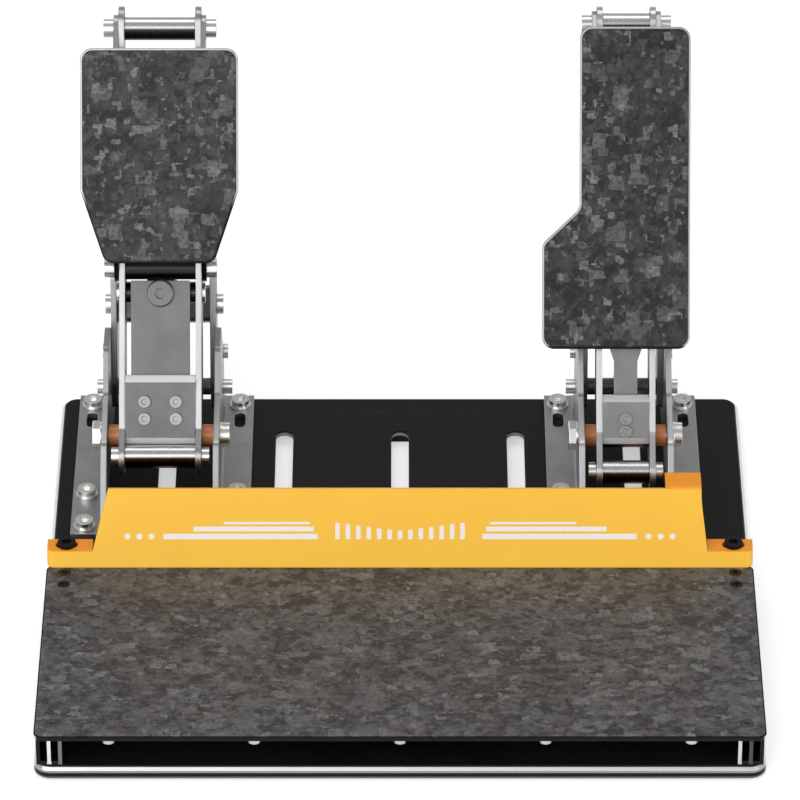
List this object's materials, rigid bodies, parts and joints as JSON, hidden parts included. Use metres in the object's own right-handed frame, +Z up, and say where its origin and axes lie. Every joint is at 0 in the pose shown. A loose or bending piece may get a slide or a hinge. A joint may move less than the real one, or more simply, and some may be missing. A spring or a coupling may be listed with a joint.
{
  "type": "sim racing pedal set",
  "caption": "Floor pedal set for driving games: brake and throttle arms on sprung push rods, slotted base tray, raised heel plate and orange toe stop.",
  "frame": {"origin": "middle of the tray's footprint, on the floor under the middle rubber foot", "axes": "+X to the driver's right, +Y away from the driver, +Z up"},
  "size_m": [0.354, 0.3494, 0.2316],
  "materials": {
    "black_steel": "satin black powder coat",
    "black_rubber": "matt moulded rubber",
    "patterned_sheet": "flaked dark laminate under a clear coat",
    "orange_steel": "satin yellow-orange powder coat",
    "orange_bush": "moulded orange plastic",
    "satin_metal": "bead-blasted grey",
    "bright_metal": "brushed, bright edges",
    "screw_steel": "zinc-plated",
    "black_screw": "black-oxide steel",
    "spring_steel": "drawn spring wire",
    "black_plastic": "fine moulded grain",
    "board": "solder-masked circuit board"
  },
  "bodies": {
    "base": {"base_tray": "black_steel", "rubber_feet": "black_rubber", "side_rail_left": "black_steel", "side_rail_right": "black_steel", "heel_plate": "black_steel", "heel_skin": "patterned_sheet", "heel_screws": "screw_steel", "toe_stop": "orange_steel", "toe_stop_screws": "black_screw", "controller_case": "black_plastic", "controller_board": "board", "brake_cheek_left": "satin_metal", "brake_cheek_right": "satin_metal", "brake_risers": "satin_metal", "brake_foot_bolts": "screw_steel", "brake_pivot_axle": "screw_steel", "brake_frame_bolts": "screw_steel", "brake_frame_sleeve": "satin_metal", "brake_end_block": "satin_metal", "brake_sensor_pod": "black_plastic", "gas_cheek_left": "satin_metal", "gas_cheek_right": "satin_metal", "gas_risers": "satin_metal", "gas_foot_bolts": "screw_steel", "gas_pivot_axle": "screw_steel", "gas_frame_bolts": "screw_steel", "gas_frame_sleeve": "satin_metal", "gas_end_block": "satin_metal", "gas_sensor_pod": "black_plastic"},
    "brake_arm": {"brake_arm_left": "satin_metal", "brake_arm_right": "satin_metal", "brake_pivot_bushes": "orange_bush", "brake_arm_web": "satin_metal", "brake_arm_block": "satin_metal", "brake_arm_screws": "screw_steel", "brake_arm_sleeves": "bright_metal", "brake_arm_bolts": "screw_steel", "brake_pad_plate": "bright_metal", "brake_pad_face": "patterned_sheet", "brake_magnet_holder": "black_plastic"},
    "brake_push_rod": {"brake_rod_end": "screw_steel", "brake_rod": "screw_steel", "brake_spring_seat": "satin_metal", "brake_spring": "spring_steel"},
    "gas_arm": {"gas_arm_left": "satin_metal", "gas_arm_right": "satin_metal", "gas_pivot_bushes": "orange_bush", "gas_arm_web": "satin_metal", "gas_arm_block": "satin_metal", "gas_arm_screws": "screw_steel", "gas_arm_sleeves": "bright_metal", "gas_arm_bolts": "screw_steel", "gas_pad_plate": "bright_metal", "gas_pad_face": "patterned_sheet", "gas_magnet_holder": "black_plastic"},
    "gas_push_rod": {"gas_rod_end": "screw_steel", "gas_rod": "screw_steel", "gas_spring_seat": "satin_metal", "gas_spring": "spring_steel"}
  },
  "joints": [
    {"name": "brake_swing", "type": "hinge", "parent": "base", "child": "brake_arm", "pos_m": [-0.122, 0.076, 0.041], "axis": [-1, 0, 0], "range_deg": [0, 9], "stiffness_Nm_per_rad": 120, "springref_deg": -2.86, "deforming": ["brake_spring"]},
    {"name": "brake_rod_pivot", "type": "hinge", "parent": "brake_arm", "child": "brake_push_rod", "pos_m": [-0.122, 0.11683, 0.10172], "axis": [-1, 0, 0], "range_deg": [-9, 0]},
    {"name": "gas_swing", "type": "hinge", "parent": "base", "child": "gas_arm", "pos_m": [0.115, 0.076, 0.041], "axis": [-1, 0, 0], "range_deg": [0, 14], "stiffness_Nm_per_rad": 10, "springref_deg": -17.19, "deforming": ["gas_spring"]},
    {"name": "gas_rod_pivot", "type": "hinge", "parent": "gas_arm", "child": "gas_push_rod", "pos_m": [0.115, 0.11683, 0.10172], "axis": [-1, 0, 0], "range_deg": [-14, 0]}
  ],
  "couplings": [
    {"joint": "brake_rod_pivot", "follows": "brake_swing", "ratio": -1},
    {"joint": "gas_rod_pivot", "follows": "gas_swing", "ratio": -1}
  ]
}
